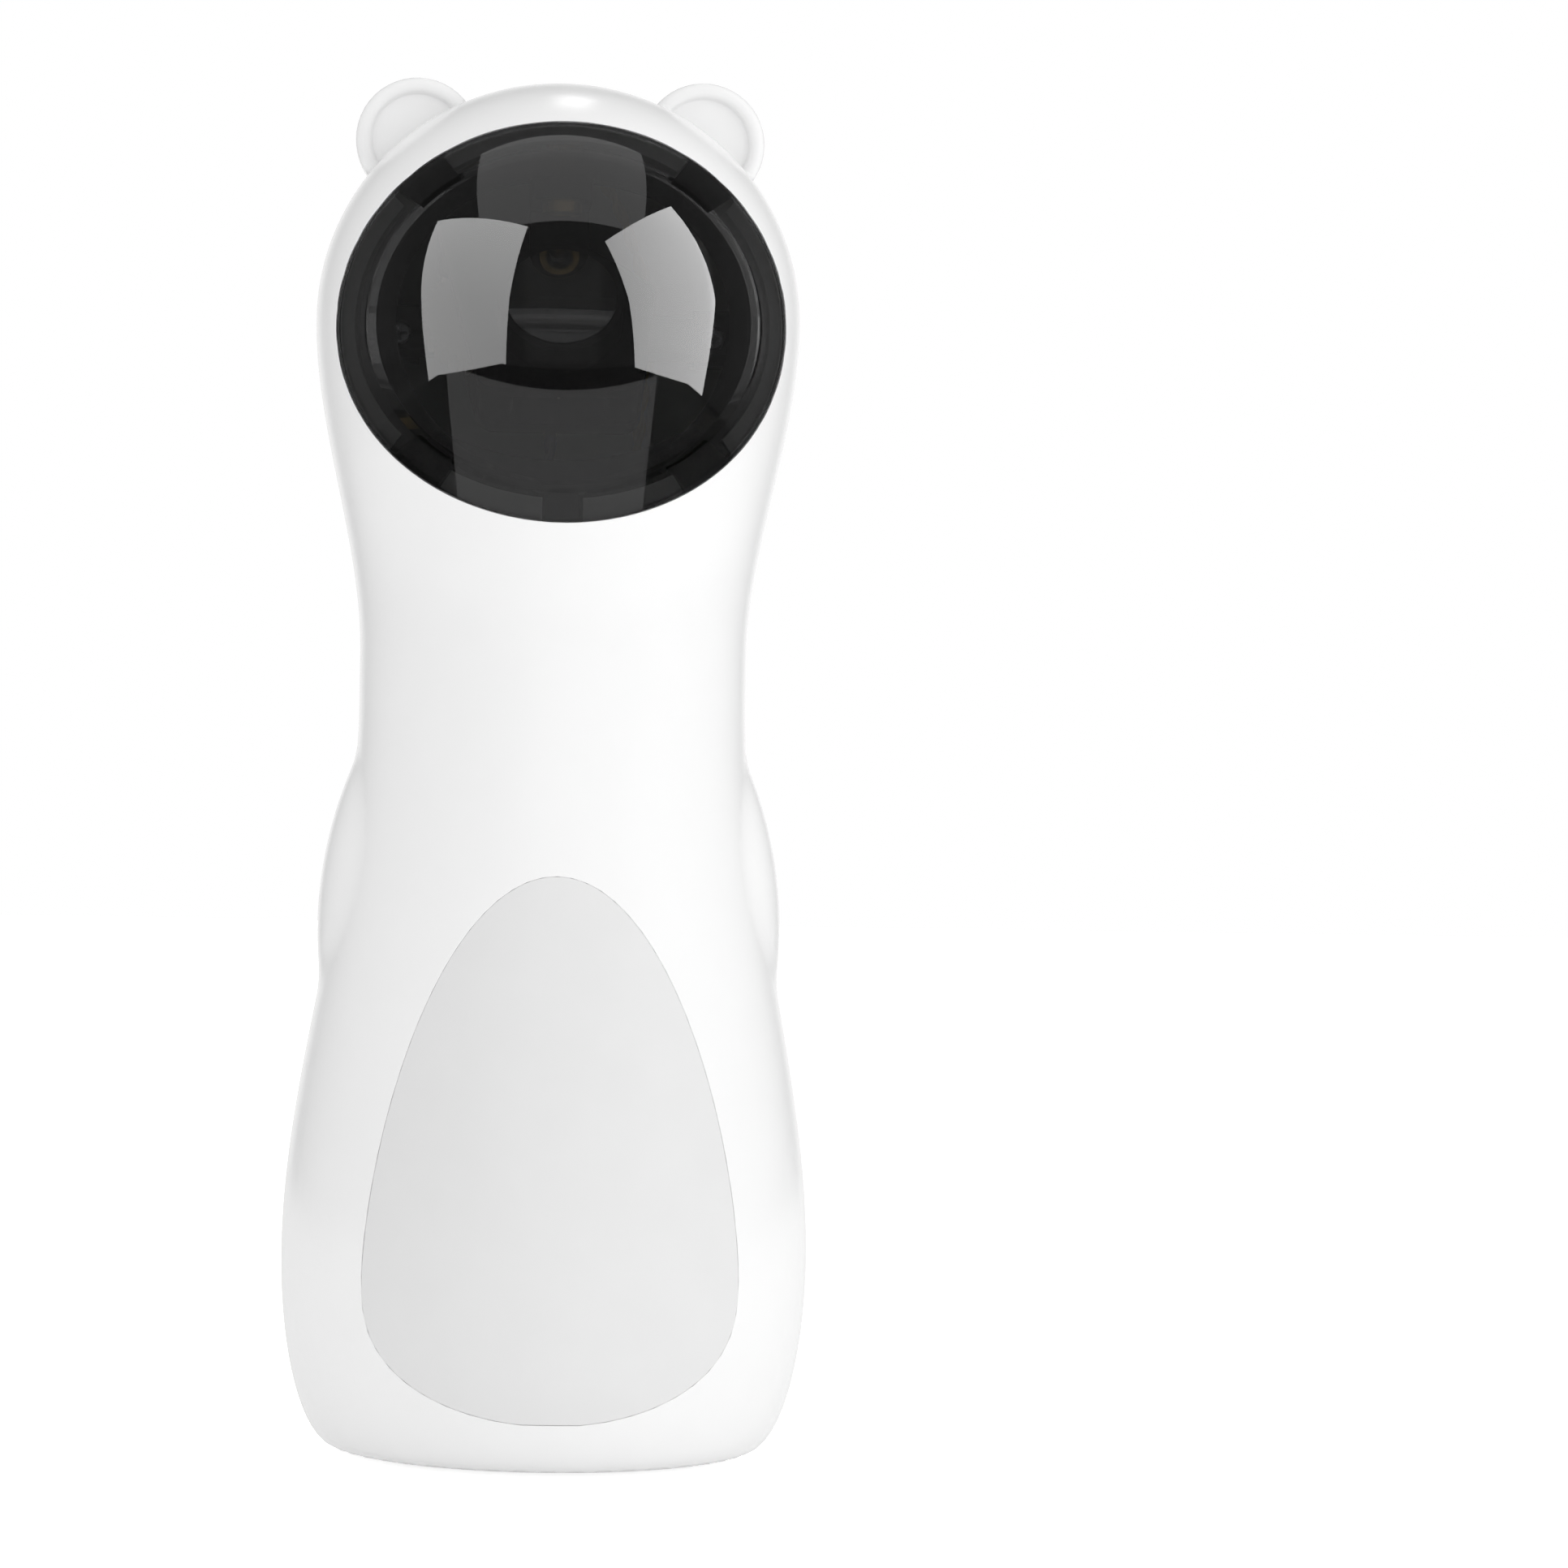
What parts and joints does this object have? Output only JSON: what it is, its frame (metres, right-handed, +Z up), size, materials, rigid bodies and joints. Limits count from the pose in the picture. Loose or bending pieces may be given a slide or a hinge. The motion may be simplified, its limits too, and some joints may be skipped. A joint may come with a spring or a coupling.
{
  "type": "automatic cat laser toy",
  "caption": "Free-standing cat-shaped toy that sweeps a laser spot round the floor with a motor-driven mirror behind a smoked visor.",
  "frame": {"origin": "centre of the base, on the floor under the feet", "axes": "+Z up; the visor and the belly panel face -Y; +X is to the viewer's right, seen from the front"},
  "size_m": [0.086, 0.086, 0.2247],
  "materials": {
    "case_white": "satin moulded white",
    "panel_grey": "satin moulded pale grey",
    "control_grey": "satin moulded grey",
    "smoked_visor": "polished smoked clear plastic",
    "dark_plastic": "fine moulded texture",
    "foot_rubber": "matt",
    "steel": "plated",
    "motor_can": "drawn and plated",
    "inlet_shell": "stamped and plated",
    "brass": "turned",
    "gear_cream": "moulded",
    "board_green": "lacquered",
    "clear_plastic": "clear",
    "lens_glass": "polished",
    "mirror_glass": "front silvered",
    "cell_wrap": null,
    "lead_red": "soft sheath",
    "lead_blue": "soft sheath",
    "lead_yellow": "soft sheath"
  },
  "bodies": {
    "case": {"front_shell": "case_white", "rear_shell": "case_white", "belly_panel": "panel_grey", "visor": "smoked_visor", "inner_mask": "dark_plastic", "mask_screws": "steel", "case_screws": "steel", "base_plate": "case_white", "rubber_feet": "foot_rubber", "battery_holder": "dark_plastic", "holder_screws": "steel", "battery_cells": "cell_wrap", "contact_disc": "dark_plastic", "lower_contacts": "steel", "upper_contacts": "steel", "cell_springs": "steel", "main_board": "board_green", "board_parts": "dark_plastic", "board_screws": "steel", "tact_switch": "dark_plastic", "power_inlet": "inlet_shell", "inlet_core": "dark_plastic", "status_led": "clear_plastic", "light_pipe": "clear_plastic", "gearbox_frame": "dark_plastic", "gearbox_cover": "dark_plastic", "gearbox_screws": "steel", "frame_screws": "steel", "drive_motor": "motor_can", "intermediate_pin": "steel", "shaft_bush": "brass", "laser_barrel": "brass", "laser_lens": "lens_glass", "battery_lead": "lead_red", "motor_lead": "lead_blue", "laser_lead": "lead_yellow"},
    "turntable": {"turntable": "dark_plastic", "mirror": "mirror_glass", "drive_shaft": "steel", "output_gear": "gear_cream"},
    "intermediate": {"intermediate_gear": "gear_cream"},
    "rotor": {"motor_shaft": "steel", "motor_pinion": "brass"},
    "button": {"power_button": "control_grey", "switch_plunger": "control_grey"},
    "cap": {"battery_cap": "case_white"}
  },
  "joints": [
    {"name": "turntable_spin", "type": "hinge", "parent": "case", "child": "turntable", "pos_m": [0, -0.012, 0.188], "axis": [0, -0.8192, 0.5736], "continuous": true},
    {"name": "intermediate_spin", "type": "hinge", "parent": "case", "child": "intermediate", "pos_m": [-0.01169, -0.00813, 0.19353], "axis": [0, -0.8192, 0.5736], "continuous": true},
    {"name": "motor_spin", "type": "hinge", "parent": "case", "child": "rotor", "pos_m": [0, -0.00426, 0.19906], "axis": [0, -0.8192, 0.5736], "continuous": true},
    {"name": "button_press", "type": "slide", "parent": "case", "child": "button", "axis": [0, -1, 0], "range_m": [0, 0.0005], "stiffness_N_per_m": 1500, "springref_m": -0.0004},
    {"name": "cap_turn", "type": "hinge", "parent": "case", "child": "cap", "pos_m": [0, 0, 0.003], "axis": [0, 0, -1], "range_deg": [0, 34]}
  ],
  "couplings": [
    {"joint": "intermediate_spin", "follows": "turntable_spin", "ratio": -3.5},
    {"joint": "motor_spin", "follows": "turntable_spin", "ratio": 12.25}
  ]
}
